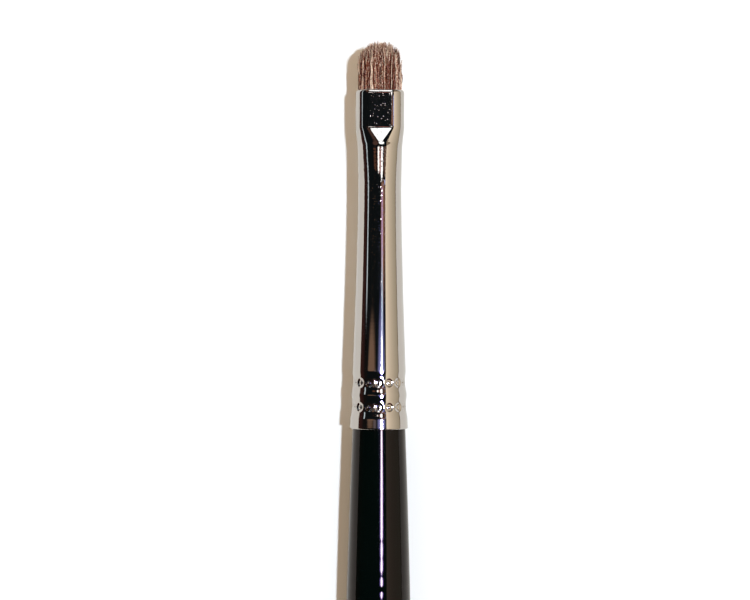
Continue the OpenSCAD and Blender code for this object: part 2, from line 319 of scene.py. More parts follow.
def ferrule_outline():
    """The tube's section: up the outside, over the lip, down the inside and round the rim. Its
    points are closest together where the wall bends most."""
    crimp_end = crimp_y(CRIMP_RINGS - 1) + CRIMP_WIDTH / 2
    outer = (
        steps(RIM_Y + RIM_EDGE_R, crimp_end, 0.1)
        + steps(crimp_end, WAIST_Y, 0.7)
        + steps(WAIST_Y, SLOPE_Y - APEX_EASE, 0.25)
        + steps(SLOPE_Y - APEX_EASE, FLAT_Y + CREASE_EASE, 0.07)
        + steps(FLAT_Y + CREASE_EASE, MOUTH_Y - LIP_LENGTH, 0.45)
    )
    inner = (
        steps(MOUTH_Y - INNER_LIP_R, FLAT_Y, -0.6)
        + steps(FLAT_Y, SLOPE_Y, -0.3)
        + steps(SLOPE_Y, WAIST_Y, -0.8)
        + steps(WAIST_Y, crimp_end, -2.0)
        + steps(crimp_end, RIM_Y, -0.5)
        + [RIM_Y]
    )
    rim_turns = [math.pi / 2 * i / 5 for i in range(5)]
    lip_turns = [math.pi / 2 * i / 9 for i in range(10)]
    inner_lip_turns = [math.pi / 2 * i / 3 for i in range(1, 4)]
    wall = [
        (RIM_EDGE_R * (1 - math.sin(t)), RIM_Y + RIM_EDGE_R * (1 - math.cos(t)))
        for t in rim_turns
    ]
    wall += [(0.0, y) for y in outer]
    wall += [
        (LIP_R * (1 - math.cos(t)), MOUTH_Y - LIP_LENGTH * (1 - math.sin(t)))
        for t in lip_turns
    ]
    wall += [
        (WALL - INNER_LIP_R * (1 - math.sin(t)), MOUTH_Y - INNER_LIP_R * (1 - math.cos(t)))
        for t in inner_lip_turns
    ]
    wall += [(WALL, y) for y in inner[1:]]
    return [(flare_r(y) - groove_depth(y) - inset, y) for inset, y in wall]


def make_ferrule(material):
    bm = bmesh.new()
    turn_outline(bm, ferrule_outline(), FERRULE_COLUMNS, closed=True)
    for vert in bm.verts:
        radius = math.hypot(vert.co.x, vert.co.z)
        if radius > flare_r(vert.co.y) - groove_depth(vert.co.y) - WALL / 2:
            press_dimples(vert)
        press_mouth(vert)
    return place_piece(bm, "ferrule_tube", "plated_metal", material, "ferrule")


# Handle

def handle_r(behind):
    """Radius of the lacquered handle at a distance behind the ferrule's rim."""
    if behind < BELLY_FROM_RIM:
        share = 1 - behind / BELLY_FROM_RIM
        return BELLY_R - (BELLY_R - SHOULDER_R) * share ** SWELL_POWER
    if behind < BELLY_END:
        return BELLY_R
    share = (behind - BELLY_END) / (CAP_START - BELLY_END)
    return blend(TAIL_R, BELLY_R, (1 + math.cos(math.pi * share)) / 2)


def coat_outline(inset, spacing):
    """One face of the lacquer, from inside the ferrule down to the tip of the tail."""
    sleeve = steps(RIM_Y + LACQUER_OVERLAP, RIM_Y, -0.3)
    turns = [math.pi / 2 * i / 14 for i in range(15)]
    cap_r = TAIL_R - inset
    return (
        [(flare_r(y) - WALL - SEAT_GAP - inset, y) for y in sleeve]
        + [(handle_r(t) - inset, RIM_Y - t) for t in steps(0, CAP_START, spacing)]
        + [(cap_r * math.cos(t), RIM_Y - CAP_START - cap_r * math.sin(t)) for t in turns]
    )


def make_handle_coat(material):
    bm = bmesh.new()
    outline = coat_outline(0.0, 0.8)[::-1] + coat_outline(LACQUER, 2.4)
    turn_outline(bm, outline, HANDLE_COLUMNS, closed=False)
    return place_piece(bm, "handle_lacquer", "lacquer", material, "lacquer_coat")


# Hair

def slot_places(chance, pitch, jitter):
    """Scattered places on a staggered grid that fills the slot of the ferrule's mouth."""
    row_gap = pitch * math.sqrt(3) / 2
    rows = math.floor(HAIR_HALF_THICKNESS / row_gap)
    flat = HAIR_HALF_WIDTH - HAIR_HALF_THICKNESS
    places = []
    for row in range(-rows, rows + 1):
        z = row * row_gap
        reach = flat + math.sqrt(HAIR_HALF_THICKNESS ** 2 - z * z)
        count = math.floor(reach / pitch)
        for column in range(-count, count + 1):
            x = (column + (row % 2) / 2) * pitch
            if abs(x) < reach:
                places.append(Vector((
                    x + chance.uniform(-jitter, jitter) * pitch,
                    z + chance.uniform(-jitter, jitter) * pitch,
                )))
    return places


def tip_height(foot):
    """How far a hair that starts at a place in the slot stands out of the mouth."""
    u = min(1.0, abs(foot.x) / HAIR_HALF_WIDTH)
    v = min(1.0, abs(foot.y) / HAIR_HALF_THICKNESS)
    dome = (1 - u ** DOME_POWER) ** (1 / DOME_POWER)
    return HAIR_LENGTH - DOME_HEIGHT * (1 - dome) - EDGE_DROP * v * v


def random_wave(chance, reach, shortest, longest):
    """A gentle wave: how far it goes each way, and how far apart its crests are."""
    return {
        "reach": Vector((chance.gauss(0, reach), chance.gauss(0, reach))),
        "length": chance.uniform(shortest, longest),
        "phase": chance.uniform(0, math.tau),
    }


def wave_offset(wave, height):
    """How far a wave has moved a hair sideways at a height above its foot."""
    swing = math.sin(wave["phase"] + math.tau * height / wave["length"])
    return wave["reach"] * swing * min(1.0, height / WAVE_START)


def hair_plan(chance):
    """One entry for each hair: its foot, lock, length, tone and the bend it takes."""
    locks = [
        {
            "centre": place,
            "lean": Vector((chance.gauss(0, LOCK_LEAN), chance.gauss(0, LOCK_LEAN))),
            "tone": chance.choice(TONES),
            "shorter": chance.uniform(0.0, UNEVEN_LENGTH),
            "wave": random_wave(chance, LOCK_WAVE, *LOCK_CRESTS),
        }
        for place in slot_places(chance, LOCK_PITCH, LOCK_SCATTER)
    ]
    plan = []
    for foot in slot_places(chance, HAIR_PITCH, HAIR_SCATTER):
        lock = min(locks, key=lambda each: (each["centre"] - foot).length_squared)
        reach = STRAY_LEAN if chance.random() < STRAY_SHARE else HAIR_LEAN
        plan.append({
            "foot": foot,
            "lock": lock,
            "rise": (
                tip_height(foot) + TIP_REACH
                - lock["shorter"] - chance.uniform(0.0, UNEVEN_LENGTH)
            ),
            "tone": blend(chance.choice(TONES), lock["tone"], LOCK_TONE_SHARE),
            "lean": Vector((chance.gauss(0, reach), chance.gauss(0, reach))),
            "wave": random_wave(chance, HAIR_WAVE, *HAIR_CRESTS),
        })
    return plan


def hair_point(hair, share):
    """Where a hair's middle is at a share of its height, from foot to tip."""
    height = share * (ROOT_RECESS + hair["rise"])
    thinning = (height / (ROOT_RECESS + HAIR_LENGTH)) ** 2
    lock = hair["lock"]
    foot = hair["foot"].lerp(lock["centre"], CLUMP_SHARE * share ** CLUMP_POWER)
    tip_depth_share = TIP_THICKNESS / (2 * HAIR_HALF_THICKNESS)
    bend = (lock["lean"] + hair["lean"]) * share ** 2
    bend += wave_offset(lock["wave"], height) + wave_offset(hair["wave"], height)
    return Vector((
        foot.x * blend(1, TIP_WIDTH_SHARE, thinning) + bend.x,
        MOUTH_Y - ROOT_RECESS + height,
        foot.y * blend(1, tip_depth_share, thinning) + bend.y,
    ))


def hair_r(share):
    """Radius of a hair: even at first, and drawn out to a natural point."""
    taper = max(0.0, (share - TAPER_START) / (1 - TAPER_START))
    return HAIR_R * (1 - TAPER_SHARE * taper ** TAPER_POWER)


def make_tuft(material):
    """Every hair starts as a 3-sided disc, and all are drawn out together, ring by ring."""
    plan = hair_plan(random.Random(HAIR_SEED))
    bm = bmesh.new()
    number = bm.faces.layers.int.new("hair_number")
    tone = bm.verts.layers.float.new("hair_tone")
    discs = []
    for i, hair in enumerate(plan):
        at = Matrix.Translation(hair_point(hair, 0))
        turned = Matrix.Rotation(math.radians(-90), 4, "X") @ Matrix.Rotation(i, 4, "Z")
        made = bmesh.ops.create_circle(
            bm, cap_ends=True, segments=3, radius=HAIR_R, matrix=at @ turned,
        )
        disc = made["verts"][0].link_faces[0]
        disc[number] = i
        for vert in disc.verts:
            vert[tone] = hair["tone"]
        discs.append(disc)
    for ring in range(1, HAIR_RINGS + 1):
        share, before = ring / HAIR_RINGS, (ring - 1) / HAIR_RINGS
        discs = bmesh.ops.extrude_discrete_faces(bm, faces=discs)["faces"]
        for disc in discs:
            hair = plan[disc[number]]
            old, new = hair_point(hair, before), hair_point(hair, share)
            thinner = hair_r(share) / hair_r(before)
            for vert in disc.verts:
                vert.co = new + (vert.co - old) * thinner
    feet = [edge for edge in bm.edges if edge.is_boundary]
    bmesh.ops.holes_fill(bm, edges=feet, sides=3)
    bmesh.ops.recalc_face_normals(bm, faces=bm.faces)
    return place_piece(bm, "tuft_hairs", "hair", material, "hair_tuft")


# Materials

# Numbers of the sockets by which a Mix node mixes two colours
MIX_FACTOR, MIX_A, MIX_B, MIX_RESULT = 0, 6, 7, 2


def colour(hex_value):
    """An sRGB colour such as "#c4c3c2" as linear red, green, blue and alpha."""
    channels = [int(hex_value[i:i + 2], 16) / 255 for i in (1, 3, 5)]
    linear = [c / 12.92 if c <= 0.04045 else ((c + 0.055) / 1.055) ** 2.4 for c in channels]
    return (*linear, 1.0)


def per_mm(size):
    """Scale of a pattern whose parts are size millimetres across."""
    return 1 / (size * MM)


def add_node(tree, kind, inputs=(), **settings):
    """Adds a node, gives it its settings, and sets or links its inputs."""
    made = tree.nodes.new(kind)
    for name, value in settings.items():
        setattr(made, name, value)
    for key, value in dict(inputs).items():
        if isinstance(value, bpy.types.NodeSocket):
            tree.links.new(value, made.inputs[key])
        else:
            made.inputs[key].default_value = value
    return made


def new_material(name):
    material = bpy.data.materials.new(name)
    material.use_nodes = True
    material.node_tree.nodes.clear()
    return material, material.node_tree


def set_surface(tree, shader):
    add_node(tree, "ShaderNodeOutputMaterial", {"Surface": shader})


# Marks on the plated tube. Rings run round it where the polishing wheel went. Real ones are a
# few hundredths of a millimetre apart, and are drawn wider here to show
RING_SIZE = 0.9
RING_HEIGHT = 0.0012
# Dents cover the pressed end, and thin out down the tube and past the bend of its faces
DENT_SIZE = 0.35
DENT_HEIGHT = 0.006
DENTS_START = WAIST_Y - 12
DENTS_FULL = SLOPE_Y - 1
BEND_EASE = 0.3
# Pits lie in a little over half of the cells of a finer pattern, and reach over this share of
# a cell. They show most in the middle of the pressed end, where the wheel reaches least
PIT_CELL = 0.3
PIT_REACH = 0.36
PIT_DEPTH = 0.0075
CELLS_UNPITTED = 0.45
PITS_START = WAIST_Y - 18
PITS_FULL = WAIST_Y + 2
PITS_MIDDLE = 0.9
PITS_SIDE = 1.7


def nickel_plated_brass():
    """Bright nickel plate on drawn brass. It was drawn, polished and then pressed and
    crimped, so it mirrors the room sharply, with faint rings from the polishing wheel, a
    fine dented skin where the press has worked it, and small pits in the plate."""
    material, tree = new_material("nickel_plated_brass")
    place = add_node(tree, "ShaderNodeTexCoord").outputs["Object"]
    parts = add_node(tree, "ShaderNodeSeparateXYZ", {"Vector": place})
    # Polishing rings hardly vary round the tube
    rings = add_node(tree, "ShaderNodeMapping", {"Vector": place, "Scale": (0.05, 1, 0.05)})
    ring_noise = add_node(
        tree, "ShaderNodeTexNoise",
        {"Vector": rings.outputs["Vector"], "Scale": per_mm(RING_SIZE), "Detail": 3.0},
    )
    ring_bump = add_node(
        tree, "ShaderNodeBump",
        {"Height": ring_noise.outputs["Fac"], "Strength": 1.0, "Distance": RING_HEIGHT * MM},
    )
    # Dents, with their share on the tube and on the flattened faces
    dents = add_node(
        tree, "ShaderNodeTexNoise",
        {"Vector": place, "Scale": per_mm(DENT_SIZE), "Detail": 2.0},
    )
    worked = add_node(
        tree, "ShaderNodeMapRange",
        {
            "Value": parts.outputs["Y"],
            "From Min": DENTS_START * MM, "From Max": DENTS_FULL * MM,
            "To Min": 0.04, "To Max": 1.0,
        },
    )
    smoothed = add_node(
        tree, "ShaderNodeMapRange",
        {
            "Value": parts.outputs["Y"],
            "From Min": (SLOPE_Y - BEND_EASE) * MM, "From Max": (SLOPE_Y + BEND_EASE) * MM,
            "To Min": 1.0, "To Max": 0.3,
        },
    )
    dent_share = add_node(
        tree, "ShaderNodeMath",
        {0: worked.outputs["Result"], 1: smoothed.outputs["Result"]}, operation="MULTIPLY",
    )
    dent_height = add_node(
        tree, "ShaderNodeMath",
        {0: dents.outputs["Fac"], 1: dent_share.outputs["Value"]}, operation="MULTIPLY",
    )
    # Pits: the chosen cells are dimpled in
    cells = add_node(tree, "ShaderNodeTexVoronoi", {"Vector": place, "Scale": per_mm(PIT_CELL)})
    cell_draw = add_node(tree, "ShaderNodeSeparateColor", {"Color": cells.outputs["Color"]})
    chosen = add_node(
        tree, "ShaderNodeMath",
        {0: cell_draw.outputs["Red"], 1: CELLS_UNPITTED}, operation="GREATER_THAN",
    )
    pit = add_node(
        tree, "ShaderNodeMapRange",
        {
            "Value": cells.outputs["Distance"], "From Min": 0.0, "From Max": PIT_REACH,
            "To Min": -1.0, "To Max": 0.0,
        },
        interpolation_type="SMOOTHSTEP",
    )
    # Their share along the tube, and to either side of its middle
    pitted = add_node(
        tree, "ShaderNodeMapRange",
        {
            "Value": parts.outputs["Y"],
            "From Min": PITS_START * MM, "From Max": PITS_FULL * MM,
            "To Min": 0.05, "To Max": 1.0,
        },
    )
    aside = add_node(tree, "ShaderNodeMath", {0: parts.outputs["X"]}, operation="ABSOLUTE")
    unreached = add_node(
        tree, "ShaderNodeMapRange",
        {
            "Value": aside.outputs["Value"],
            "From Min": PITS_MIDDLE * MM, "From Max": PITS_SIDE * MM,
            "To Min": 1.0, "To Max": 0.15,
        },
    )
    pit_place = add_node(
        tree, "ShaderNodeMath",
        {0: pitted.outputs["Result"], 1: unreached.outputs["Result"]}, operation="MULTIPLY",
    )
    pit_share = add_node(
        tree, "ShaderNodeMath",
        {0: chosen.outputs["Value"], 1: pit_place.outputs["Value"]}, operation="MULTIPLY",
    )
    pit_height = add_node(
        tree, "ShaderNodeMath",
        {0: pit.outputs["Result"], 1: pit_share.outputs["Value"]}, operation="MULTIPLY",
    )
    pit_bump = add_node(
        tree, "ShaderNodeBump",
        {
            "Height": pit_height.outputs["Value"], "Strength": 1.0,
            "Distance": PIT_DEPTH * MM, "Normal": ring_bump.outputs["Normal"],
        },
    )
    dent_bump = add_node(
        tree, "ShaderNodeBump",
        {
            "Height": dent_height.outputs["Value"], "Strength": 1.0,
            "Distance": DENT_HEIGHT * MM, "Normal": pit_bump.outputs["Normal"],
        },
    )
    # Finger marks dull it a little
    smudges = add_node(
        tree, "ShaderNodeTexNoise", {"Vector": place, "Scale": per_mm(4.0), "Detail": 4.0},
    )
    roughness = add_node(
        tree, "ShaderNodeMapRange",
        {
            "Value": smudges.outputs["Fac"], "From Min": 0.35, "From Max": 0.75,
            "To Min": 0.035, "To Max": 0.07,
        },
    )
    metal = add_node(
        tree, "ShaderNodeBsdfPrincipled",
        {
            "Base Color": colour("#c5c3c1"), "Metallic": 1.0,
            "Roughness": roughness.outputs["Result"], "Normal": dent_bump.outputs["Normal"],
        },
    )
    set_surface(tree, metal.outputs["BSDF"])
    return material


# The coat's reflection is a little smoky
SMOKED_COAT = (0.68, 0.53, 0.54, 1.0)
# Ripples of the lacquer run round the handle. They are deepest about two centimetres behind
# the ferrule, and at their least from this far to either side of there
RIPPLE_SIZE = 1.4
RIPPLE_HEIGHT = 0.032
RIPPLE_MIDDLE_Y = RIM_Y - 19
RIPPLE_NEAR = 4
RIPPLE_FAR = 13
# The dried skin has a finer unevenness of its own
SKIN_SIZE = 0.8
SKIN_HEIGHT = 0.0012


def black_lacquer():
    """Black nitrocellulose lacquer, dipped and polished on a lathe. It is deep black with a
    clear, wet reflection that ripples slightly where the wheel has passed."""
    material, tree = new_material("black_lacquer")
    place = add_node(tree, "ShaderNodeTexCoord").outputs["Object"]
    rings = add_node(tree, "ShaderNodeMapping", {"Vector": place, "Scale": (0.08, 1, 0.08)})
    ripple = add_node(
        tree, "ShaderNodeTexNoise",
        {"Vector": rings.outputs["Vector"], "Scale": per_mm(RIPPLE_SIZE), "Detail": 0.0},
    )
    parts = add_node(tree, "ShaderNodeSeparateXYZ", {"Vector": place})
    from_middle = add_node(
        tree, "ShaderNodeMath",
        {0: parts.outputs["Y"], 1: RIPPLE_MIDDLE_Y * MM}, operation="SUBTRACT",
    )
    away = add_node(
        tree, "ShaderNodeMath", {0: from_middle.outputs["Value"]}, operation="ABSOLUTE",
    )
    ripple_share = add_node(
        tree, "ShaderNodeMapRange",
        {
            "Value": away.outputs["Value"],
            "From Min": RIPPLE_NEAR * MM, "From Max": RIPPLE_FAR * MM,
            "To Min": 2.4, "To Max": 0.8,
        },
    )
    ripple_height = add_node(
        tree, "ShaderNodeMath",
        {0: ripple.outputs["Fac"], 1: ripple_share.outputs["Result"]}, operation="MULTIPLY",
    )
    ripple_bump = add_node(
        tree, "ShaderNodeBump",
        {
            "Height": ripple_height.outputs["Value"], "Strength": 1.0,
            "Distance": RIPPLE_HEIGHT * MM,
        },
    )
    skin = add_node(
        tree, "ShaderNodeTexNoise",
        {"Vector": place, "Scale": per_mm(SKIN_SIZE), "Detail": 1.0},
    )
    skin_bump = add_node(
        tree, "ShaderNodeBump",
        {
            "Height": skin.outputs["Fac"], "Strength": 1.0,
            "Distance": SKIN_HEIGHT * MM, "Normal": ripple_bump.outputs["Normal"],
        },
    )
    # Its colour and its gloss change slowly
    tone = add_node(
        tree, "ShaderNodeTexNoise", {"Vector": place, "Scale": per_mm(6.0), "Detail": 3.0},
    )
    shade = add_node(
        tree, "ShaderNodeMix",
        {MIX_FACTOR: tone.outputs["Fac"], MIX_A: colour("#020706"), MIX_B: colour("#030908")},
        data_type="RGBA",
    )
    smudges = add_node(
        tree, "ShaderNodeMapRange",
        {
            "Value": tone.outputs["Fac"], "From Min": 0.4, "From Max": 0.8,
            "To Min": 0.04, "To Max": 0.09,
        },
    )
    coat = add_node(
        tree, "ShaderNodeBsdfPrincipled",
        {
            "Base Color": shade.outputs[MIX_RESULT], "Roughness": smudges.outputs["Result"],
            "IOR": 1.42, "Specular Tint": SMOKED_COAT, "Normal": skin_bump.outputs["Normal"],
        },
    )
    set_surface(tree, coat.outputs["BSDF"])
    return material


# Colour drifts slowly along each hair, by this much against the hair's own tone. The drift is
# partly the hair's own tone changing and partly painted highlights and shade along the hairs
TONE_AND_GLINT_SIZE = 0.16
TONE_AND_GLINT_SHARE = 1.6
# The tips are finer, and paler for it
TIPS_LENGTH = 2.6
TIPS_PALER = 0.25
# Tones over which a hair turns from chestnut to brown, and from brown to straw
BROWN_TONES = (0.94, 1.18)
PALE_TONES = (1.26, 1.64)


def natural_hair():
    """Washed natural pony hair, uncut at the tips. Each hair has its own brown, from dark
    chestnut to pale straw, and a soft shine along its length."""
    material, tree = new_material("natural_hair")
    tone = add_node(tree, "ShaderNodeAttribute", attribute_name="hair_tone")
    place = add_node(tree, "ShaderNodeTexCoord").outputs["Object"]
    stretched = add_node(tree, "ShaderNodeMapping", {"Vector": place, "Scale": (1, 0.7, 1)})
    # Partly the hairs' own tone, partly painted highlights and shade along them
    tone_and_glint = add_node(
        tree, "ShaderNodeTexNoise",
        {"Vector": stretched.outputs["Vector"], "Scale": per_mm(TONE_AND_GLINT_SIZE), "Detail": 2.0},
    )
    parts = add_node(tree, "ShaderNodeSeparateXYZ", {"Vector": place})
    tips = add_node(
        tree, "ShaderNodeMapRange",
        {
            "Value": parts.outputs["Y"],
            "From Min": (HAIR_END_Y - TIPS_LENGTH) * MM, "From Max": HAIR_END_Y * MM,
            "To Min": 0.0, "To Max": TIPS_PALER,
        },
    )
    paler_tips = add_node(
        tree, "ShaderNodeMath",
        {0: tips.outputs["Result"], 1: tone.outputs["Fac"]}, operation="ADD",
    )
    mixed_tone = add_node(
        tree, "ShaderNodeMath",
        {0: tone_and_glint.outputs["Fac"], 1: TONE_AND_GLINT_SHARE, 2: paler_tips.outputs["Value"]},
        operation="MULTIPLY_ADD",
    )
    brown_part = add_node(
        tree, "ShaderNodeMapRange",
        {
            "Value": mixed_tone.outputs["Value"],
            "From Min": BROWN_TONES[0], "From Max": BROWN_TONES[1],
        },
    )
    pale_part = add_node(
        tree, "ShaderNodeMapRange",
        {
            "Value": mixed_tone.outputs["Value"],
            "From Min": PALE_TONES[0], "From Max": PALE_TONES[1],
        },
    )
    browns = add_node(
        tree, "ShaderNodeMix",
        {
            MIX_FACTOR: brown_part.outputs["Result"],
            MIX_A: colour("#380903"), MIX_B: colour("#92503a"),
        },
        data_type="RGBA",
    )
    shades = add_node(
        tree, "ShaderNodeMix",
        {
            MIX_FACTOR: pale_part.outputs["Result"],
            MIX_A: browns.outputs[MIX_RESULT], MIX_B: colour("#f4dcc4"),
        },
        data_type="RGBA",
    )
    hair = add_node(
        tree, "ShaderNodeBsdfPrincipled",
        {"Base Color": shades.outputs[MIX_RESULT], "Roughness": 0.4, "Specular IOR Level": 0.35},
    )
    set_surface(tree, hair.outputs["BSDF"])
    return material


def bound_hair():
    """The same hair where it is bound, packed tight and soaked with resin at its end."""
    material, tree = new_material("bound_hair")
    place = add_node(tree, "ShaderNodeTexCoord").outputs["Object"]
    stretched = add_node(tree, "ShaderNodeMapping", {"Vector": place, "Scale": (1, 0.04, 1)})
    fibres = add_node(
        tree, "ShaderNodeTexNoise",
        {"Vector": stretched.outputs["Vector"], "Scale": per_mm(0.1), "Detail": 2.0},
    )
    shade = add_node(
        tree, "ShaderNodeMix",
        {MIX_FACTOR: fibres.outputs["Fac"], MIX_A: colour("#3a2018"), MIX_B: colour("#8a6a54")},
        data_type="RGBA",
    )
    bump = add_node(
        tree, "ShaderNodeBump",
        {"Height": fibres.outputs["Fac"], "Strength": 1.0, "Distance": 0.03 * MM},
    )
    hair = add_node(
        tree, "ShaderNodeBsdfPrincipled",
        {
            "Base Color": shade.outputs[MIX_RESULT], "Roughness": 0.5,
            "Normal": bump.outputs["Normal"],
        },
    )
    set_surface(tree, hair.outputs["BSDF"])
    return material


def waxed_thread():
    """Waxed linen thread, wound tight: off-white, with its twist showing as slanted ribs."""
    material, tree = new_material("waxed_thread")
    place = add_node(tree, "ShaderNodeTexCoord").outputs["Object"]
    twist = add_node(
        tree, "ShaderNodeTexWave",
        {"Vector": place, "Scale": per_mm(0.5), "Distortion": 1.0}, bands_direction="DIAGONAL",
    )
    shade = add_node(
        tree, "ShaderNodeMix",
        {MIX_FACTOR: twist.outputs["Fac"], MIX_A: colour("#b8a888"), MIX_B: colour("#e4dac4")},
        data_type="RGBA",
    )
    bump = add_node(
        tree, "ShaderNodeBump",
        {"Height": twist.outputs["Fac"], "Strength": 1.0, "Distance": 0.03 * MM},
    )
    thread = add_node(
        tree, "ShaderNodeBsdfPrincipled",
        {
            "Base Color": shade.outputs[MIX_RESULT], "Roughness": 0.7,
            "Normal": bump.outputs["Normal"],
        },
    )
    set_surface(tree, thread.outputs["BSDF"])
    return material


def cast_resin():
    """Amber epoxy, poured round the tied hair: glossy and a little cloudy with bubbles."""
    material, tree = new_material("cast_resin")
    place = add_node(tree, "ShaderNodeTexCoord").outputs["Object"]
    bubbles = add_node(tree, "ShaderNodeTexVoronoi", {"Vector": place, "Scale": per_mm(0.8)})
    spread = add_node(
        tree, "ShaderNodeMapRange",
        {"Value": bubbles.outputs["Distance"], "From Min": 0.0, "From Max": 0.3},
    )
    shade = add_node(
        tree, "ShaderNodeMix",
        {MIX_FACTOR: spread.outputs["Result"], MIX_A: colour("#d9b877"), MIX_B: colour("#a8742c")},
        data_type="RGBA",
    )
    resin = add_node(
        tree, "ShaderNodeBsdfPrincipled",
        {"Base Color": shade.outputs[MIX_RESULT], "Roughness": 0.18, "IOR": 1.55},
    )
    set_surface(tree, resin.outputs["BSDF"])
    return material


def wood_glue():
    """White wood glue, dried to a dull cream film with brushed streaks."""
    material, tree = new_material("wood_glue")
    place = add_node(tree, "ShaderNodeTexCoord").outputs["Object"]
    streaks = add_node(
        tree, "ShaderNodeTexNoise", {"Vector": place, "Scale": per_mm(1.2), "Detail": 3.0},
    )
    shade = add_node(
        tree, "ShaderNodeMix",
        {MIX_FACTOR: streaks.outputs["Fac"], MIX_A: colour("#d8cca2"), MIX_B: colour("#efe8cc")},
        data_type="RGBA",
    )
    glue = add_node(
        tree, "ShaderNodeBsdfPrincipled",
        {"Base Color": shade.outputs[MIX_RESULT], "Roughness": 0.6},
    )
    set_surface(tree, glue.outputs["BSDF"])
    return material


def turned_birch():
    """Birch, turned and sanded: pale yellow brown with fine grain along the handle."""
    material, tree = new_material("turned_birch")
    place = add_node(tree, "ShaderNodeTexCoord").outputs["Object"]
    along = add_node(tree, "ShaderNodeMapping", {"Vector": place, "Scale": (1, 0.06, 1)})
    grain = add_node(
        tree, "ShaderNodeTexNoise",
        {"Vector": along.outputs["Vector"], "Scale": per_mm(0.7), "Detail": 5.0},
    )
    shade = add_node(
        tree, "ShaderNodeMix",
        {MIX_FACTOR: grain.outputs["Fac"], MIX_A: colour("#a97c4c"), MIX_B: colour("#dcbc8c")},
        data_type="RGBA",
    )
    bump = add_node(
        tree, "ShaderNodeBump",
        {"Height": grain.outputs["Fac"], "Strength": 1.0, "Distance": 0.02 * MM},
    )
    wood = add_node(
        tree, "ShaderNodeBsdfPrincipled",
        {
            "Base Color": shade.outputs[MIX_RESULT], "Roughness": 0.55,
            "Normal": bump.outputs["Normal"],
        },
    )
    set_surface(tree, wood.outputs["BSDF"])
    return material


def dress_node(name, material):
    """Gives a node of the frame its material."""
    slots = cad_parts[name].data.materials
    slots.clear()
    slots.append(material)


# Studio: a white paper floor, the daylight of the room, a lamp, and cards for the metal

def white_paper():
    """Smooth white card stock, with the faintest tooth. Where the metal mirrors it, its colour
    is painted greyer and warmer: painted shade, as it lies away from the lamp's light there."""
    material, tree = new_material("white_paper")
    place = add_node(tree, "ShaderNodeTexCoord").outputs["Object"]
    tooth = add_node(
        tree, "ShaderNodeTexNoise", {"Vector": place, "Scale": per_mm(0.5), "Detail": 2.0},
    )
    bump = add_node(
        tree, "ShaderNodeBump",
        {"Height": tooth.outputs["Fac"], "Strength": 0.2, "Distance": 0.01 * MM},
    )
    # Painted shade: mirrored rays are given a greyer, warmer paper colour than the camera sees
    rays = add_node(tree, "ShaderNodeLightPath")
    shade = add_node(
        tree, "ShaderNodeMix",
        {
            MIX_FACTOR: rays.outputs["Is Glossy Ray"],
            MIX_A: colour("#f8f8f8"), MIX_B: colour("#e2ded8"),
        },
        data_type="RGBA",
    )
    paper = add_node(
        tree, "ShaderNodeBsdfDiffuse",
        {"Color": shade.outputs[MIX_RESULT], "Normal": bump.outputs["Normal"]},
    )
    set_surface(tree, paper.outputs["BSDF"])
    return material


# The paper falls away slightly under the hair, as the brush lies on its belly
FLOOR_TILT_DEGREES = 0.9
FLOOR_PIVOT_Y = -36.0
FLOOR_DROP = 0.03
FLOOR_SIZE = 3000.0
FLOOR_PLACE = (
    Matrix.Translation((0, FLOOR_PIVOT_Y, -FLOOR_DROP))
    @ Matrix.Rotation(math.radians(-FLOOR_TILT_DEGREES), 4, "X")
)


def stage_piece(bm, name, material):
    """Makes a shape drawn in millimetres a piece of the studio."""
    bmesh.ops.scale(bm, verts=bm.verts, vec=(MM, MM, MM))
    mesh = bpy.data.meshes.new(name)
    bm.to_mesh(mesh)
    bm.free()
    piece = bpy.data.objects.new(name, mesh)
    bpy.context.scene.collection.objects.link(piece)
    mesh.materials.append(material)
    return piece


def make_floor():
    bm = bmesh.new()
    bmesh.ops.create_grid(bm, x_segments=1, y_segments=1, size=FLOOR_SIZE, matrix=FLOOR_PLACE)
    stage_piece(bm, "paper_floor", white_paper())


def make_card(name, low, high, material, place=Matrix.Identity(4)):
    """A thin card between two corners, in millimetres, that only reflections show."""
    middle = [(a + b) / 2 for a, b in zip(low, high)]
    extent = [b - a for a, b in zip(low, high)]
    bm = bmesh.new()
    at = place @ Matrix.Translation(middle) @ Matrix.Diagonal((*extent, 1.0))
    bmesh.ops.create_cube(bm, size=1.0, matrix=at)
    card = stage_piece(bm, name, material)
    card.visible_camera = False
    card.visible_diffuse = False
    card.visible_transmission = False
    card.visible_volume_scatter = False
    card.visible_shadow = False


def plain_glow(name, light):
    """A card that gives the same light all over."""
    material, tree = new_material(name)
    glow = add_node(tree, "ShaderNodeEmission", {"Color": (*light, 1.0), "Strength": 1.0})
    set_surface(tree, glow.outputs["Emission"])
    return material


def card_glow(name, first, second, axis, start, end):
    """A card whose light goes from one colour to another between two places on an axis."""
    material, tree = new_material(name)
    place = add_node(tree, "ShaderNodeTexCoord").outputs["Object"]
    parts = add_node(tree, "ShaderNodeSeparateXYZ", {"Vector": place})
    share = add_node(
        tree, "ShaderNodeMapRange",
        {"Value": parts.outputs[axis], "From Min": start * MM, "From Max": end * MM},
    )
    glow = add_node(
        tree, "ShaderNodeMix",
        {MIX_FACTOR: share.outputs["Result"], MIX_A: (*first, 1.0), MIX_B: (*second, 1.0)},
        data_type="RGBA",
    )
    light = add_node(
        tree, "ShaderNodeEmission", {"Color": glow.outputs[MIX_RESULT], "Strength": 1.0},
    )
    set_surface(tree, light.outputs["Emission"])
    return material


# Height of what hangs over the brush, and what it gives where nothing lights it
CARD_Z = 304.0
CEILING_DARK = (0.006, 0.008, 0.009)


